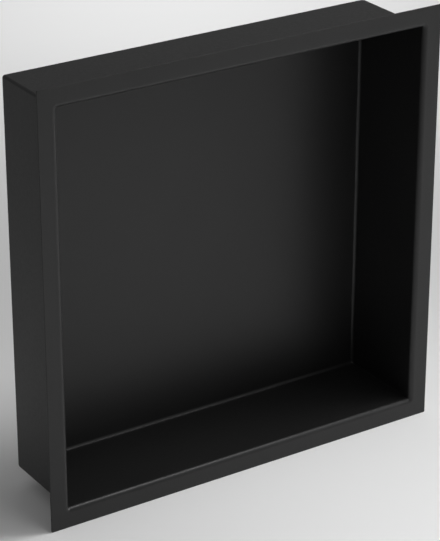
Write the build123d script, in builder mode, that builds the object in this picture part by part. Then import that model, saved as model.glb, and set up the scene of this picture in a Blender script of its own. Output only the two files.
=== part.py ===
from build123d import *
import os

# Recessed niche for a tiled shower wall: one pan of folded sheet with a flange round its opening.
# Millimetres, +Z up. The origin is the centre of the opening on the wall's surface, where the back of
# the flange lies. +Y points into the wall, so the flange's front is at -sheet.

# Driving dimensions
opening_width = 300.0
opening_height = 300.0
recess_depth = 75.0
flange_width = 15.0
sheet = 1.2
inner_bend_radius = 2.5
inner_seam_radius = 0.8
flange_corner_radius = 1.0
edge_break = 0.3

# Sizes that follow from them
outer_bend_radius = inner_bend_radius + sheet
outer_seam_radius = inner_seam_radius + sheet
pan_width = opening_width + 2 * sheet
pan_height = opening_height + 2 * sheet
flange_total_width = opening_width + 2 * flange_width
flange_total_height = opening_height + 2 * flange_width

# The wall's surface, seen from the room: its normal points out of the wall, along -Y
wall_surface = Plane.XZ

with BuildPart() as niche_body:
    # Pan: a block behind the wall's surface, with tight welded seams between its walls and wide folds
    # round its back panel, hollowed to the thickness of the sheet
    with BuildSketch(wall_surface):
        Rectangle(pan_width, pan_height)
    extrude(amount=-recess_depth)
    fillet(niche_body.edges().filter_by(Axis.Y), outer_seam_radius)
    fillet(niche_body.faces().sort_by(Axis.Y)[-1].edges(), outer_bend_radius)
    mouth = niche_body.faces().sort_by(Axis.Y)[0]
    offset(amount=-sheet, openings=mouth)

    # Flange: a flat frame on the wall's surface, open where the pan is
    with BuildSketch(wall_surface):
        RectangleRounded(flange_total_width, flange_total_height, flange_corner_radius)
        RectangleRounded(opening_width, opening_height, inner_seam_radius, mode=Mode.SUBTRACT)
    extrude(amount=sheet)

    # Fold between walls and flange: the round behind it and the round in front share a centre
    flange_back = niche_body.faces().filter_by(wall_surface).sort_by(Axis.Y)[1]
    fillet(flange_back.inner_wires()[0].edges(), inner_bend_radius)
    flange_front = niche_body.faces().filter_by(wall_surface).sort_by(Axis.Y)[0]
    fillet(flange_front.inner_wires()[0].edges(), outer_bend_radius)

    # Deburred outer edge of the flange, front and back
    flange_front, flange_back = niche_body.faces().filter_by(wall_surface).sort_by(Axis.Y)[:2]
    fillet(flange_front.outer_wire().edges() + flange_back.outer_wire().edges(), edge_break)

niche_body.part.label = "niche_body"

os.makedirs("parts", exist_ok=True)
export_step(niche_body.part, "parts/niche_body.step")
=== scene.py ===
import math

import bpy
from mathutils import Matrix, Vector


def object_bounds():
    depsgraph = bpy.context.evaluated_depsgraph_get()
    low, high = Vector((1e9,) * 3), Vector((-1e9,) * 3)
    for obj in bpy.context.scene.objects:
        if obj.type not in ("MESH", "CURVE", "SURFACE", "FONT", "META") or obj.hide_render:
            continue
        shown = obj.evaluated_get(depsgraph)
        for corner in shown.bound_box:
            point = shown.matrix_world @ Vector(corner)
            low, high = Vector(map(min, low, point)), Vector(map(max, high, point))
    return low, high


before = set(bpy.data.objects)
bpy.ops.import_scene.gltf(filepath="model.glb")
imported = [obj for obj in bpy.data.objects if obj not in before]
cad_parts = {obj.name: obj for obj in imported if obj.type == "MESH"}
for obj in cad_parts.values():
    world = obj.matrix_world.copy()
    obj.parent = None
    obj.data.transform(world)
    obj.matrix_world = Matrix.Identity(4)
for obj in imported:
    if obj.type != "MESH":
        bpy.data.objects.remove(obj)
cad_low, cad_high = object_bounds()

# Lengths are in metres unless a comment says otherwise

# Camera at the photograph's angle, to the left of the front and above it; lens and sensor in millimetres
VIEW_AZIMUTH = math.radians(-33.08)
VIEW_ELEVATION = math.radians(24.68)
VIEW_DISTANCE = 1.648
VIEW_TARGET = Vector((-0.0032, 0.0308, -0.0147))
LENS = 152.0
SENSOR = 36.0

# Pale matt floor
FLOOR_SIZE = 40.0
FLOOR_COLOUR = (0.9, 0.9, 0.9)
FLOOR_ROUGHNESS = 0.9
FLOOR_SPECULAR = 0.0

# Even grey surround
SKY_COLOUR = (1.0, 1.0, 1.0)
SKY_LEVEL = 0.23

# Softboxes: name, place, target, size, beam angle in degrees, radiance that its power gives at a full beam
LAMPS = [
    ("side", (1.6, -0.5, 0.45), (0.0, -0.1, 0.0), 0.7, 120.0, 4.4),
    ("over", (0.4, -0.15, 1.0), (0.0, -0.03, -0.16), 0.4, 40.0, 0.58),
    ("floor_front", (0.1, -0.9, 1.5), (0.1, -0.62, -0.165), 0.5, 45.0, 0.9),
    ("floor_right", (0.5, -0.8, 1.6), (0.4, -0.65, -0.165), 0.7, 55.0, 0.74),
    ("floor_far", (0.6, 1.2, 1.2), (0.55, 0.95, -0.165), 0.6, 65.0, 1.65),
]

# Satin black powder coat: tone, gloss, and the sizes and heights of its texture
COAT_DARK = (0.009, 0.009, 0.0091)
COAT_LIGHT = (0.011, 0.011, 0.0109)
COAT_SPECULAR = 0.44
COAT_ROUGHNESS_LOW = 0.37
COAT_ROUGHNESS_HIGH = 0.43
CLOUD_SIZE = 0.07
PEEL_SIZE = 0.0022
GRAIN_SIZE = 0.0005
PEEL_HEIGHT = 0.00002
GRAIN_HEIGHT = 0.000006

# Noise: detail, and the middle of its range, where most of its values lie
NOISE_DETAIL = 2.0
NOISE_LOW = 0.3
NOISE_HIGH = 0.7


def noise(tree, coordinates, size):
    """A noise texture whose features are about size across."""
    texture = tree.nodes.new("ShaderNodeTexNoise")
    texture.inputs["Scale"].default_value = 1.0 / size
    texture.inputs["Detail"].default_value = NOISE_DETAIL
    tree.links.new(coordinates, texture.inputs["Vector"])
    return texture.outputs["Fac"]


def spread(tree, value, low, high):
    """Maps the middle of a noise's range to low and high."""
    node = tree.nodes.new("ShaderNodeMapRange")
    node.inputs["From Min"].default_value = NOISE_LOW
    node.inputs["From Max"].default_value = NOISE_HIGH
    node.inputs["To Min"].default_value = low
    node.inputs["To Max"].default_value = high
    tree.links.new(value, node.inputs["Value"])
    return node.outputs["Result"]


def bump(tree, height, distance, normal=None):
    """Bump from a noise, on top of another bump where one is given."""
    node = tree.nodes.new("ShaderNodeBump")
    node.inputs["Distance"].default_value = distance
    tree.links.new(height, node.inputs["Height"])
    if normal is not None:
        tree.links.new(normal, node.inputs["Normal"])
    return node.outputs["Normal"]


def powder_coat():
    """Satin black powder coat: a cloudy tone, orange peel that varies the gloss too, and a fine grain."""
    material = bpy.data.materials.new("satin_black_coat")
    material.use_nodes = True
    tree = material.node_tree
    shader = tree.nodes["Principled BSDF"]
    shader.inputs["Specular IOR Level"].default_value = COAT_SPECULAR
    place = tree.nodes.new("ShaderNodeTexCoord").outputs["Object"]
    cloud = noise(tree, place, CLOUD_SIZE)
    peel = noise(tree, place, PEEL_SIZE)
    grain = noise(tree, place, GRAIN_SIZE)

    tone = tree.nodes.new("ShaderNodeMix")
    tone.data_type = "RGBA"
    tone.inputs["A"].default_value = (*COAT_DARK, 1.0)
    tone.inputs["B"].default_value = (*COAT_LIGHT, 1.0)
    tree.links.new(spread(tree, cloud, 0.0, 1.0), tone.inputs["Factor"])
    tree.links.new(tone.outputs["Result"], shader.inputs["Base Color"])

    gloss = spread(tree, peel, COAT_ROUGHNESS_LOW, COAT_ROUGHNESS_HIGH)
    tree.links.new(gloss, shader.inputs["Roughness"])

    waves = bump(tree, peel, PEEL_HEIGHT)
    tree.links.new(bump(tree, grain, GRAIN_HEIGHT, waves), shader.inputs["Normal"])
    return material


def floor():
    """A plain pale floor at the lowest point of the part."""
    bpy.ops.mesh.primitive_plane_add(size=FLOOR_SIZE, location=(0.0, 0.0, cad_low.z))
    plane = bpy.context.object
    plane.name = "floor"
    material = bpy.data.materials.new("pale_floor")
    material.use_nodes = True
    shader = material.node_tree.nodes["Principled BSDF"]
    shader.inputs["Base Color"].default_value = (*FLOOR_COLOUR, 1.0)
    shader.inputs["Roughness"].default_value = FLOOR_ROUGHNESS
    shader.inputs["Specular IOR Level"].default_value = FLOOR_SPECULAR
    plane.data.materials.append(material)


def aim(thing, target):
    """Turns a lamp or the camera towards a point."""
    thing.rotation_euler = (Vector(target) - thing.location).to_track_quat("-Z", "Y").to_euler()


def softbox(name, place, target, size, beam, radiance):
    """A square area lamp that the camera doesn't see; a beam under 180 degrees is a grid on the box."""
    lamp = bpy.data.lights.new(name, "AREA")
    lamp.size = size
    lamp.spread = math.radians(beam)
    lamp.energy = radiance * math.pi * size * size
    thing = bpy.data.objects.new(name, lamp)
    bpy.context.scene.collection.objects.link(thing)
    thing.location = place
    thing.visible_camera = False
    aim(thing, target)


def sky():
    """An even grey surround."""
    world = bpy.data.worlds.new("studio")
    world.use_nodes = True
    background = world.node_tree.nodes["Background"]
    background.inputs["Color"].default_value = (*SKY_COLOUR, 1.0)
    background.inputs["Strength"].default_value = SKY_LEVEL
    bpy.context.scene.world = world


def camera():
    """A long lens at the photograph's angle."""
    lens = bpy.data.cameras.new("camera")
    lens.lens = LENS
    lens.sensor_width = SENSOR
    thing = bpy.data.objects.new("camera", lens)
    bpy.context.scene.collection.objects.link(thing)
    away = Vector((math.sin(VIEW_AZIMUTH) * math.cos(VIEW_ELEVATION),
                   -math.cos(VIEW_AZIMUTH) * math.cos(VIEW_ELEVATION),
                   math.sin(VIEW_ELEVATION)))
    thing.location = VIEW_TARGET + VIEW_DISTANCE * away
    aim(thing, VIEW_TARGET)
    bpy.context.scene.camera = thing


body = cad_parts["niche_body"]
body.material_slots[0].material = powder_coat()

floor()
sky()
for lamp_row in LAMPS:
    softbox(*lamp_row)
camera()
bpy.context.scene.view_settings.view_transform = "Standard"
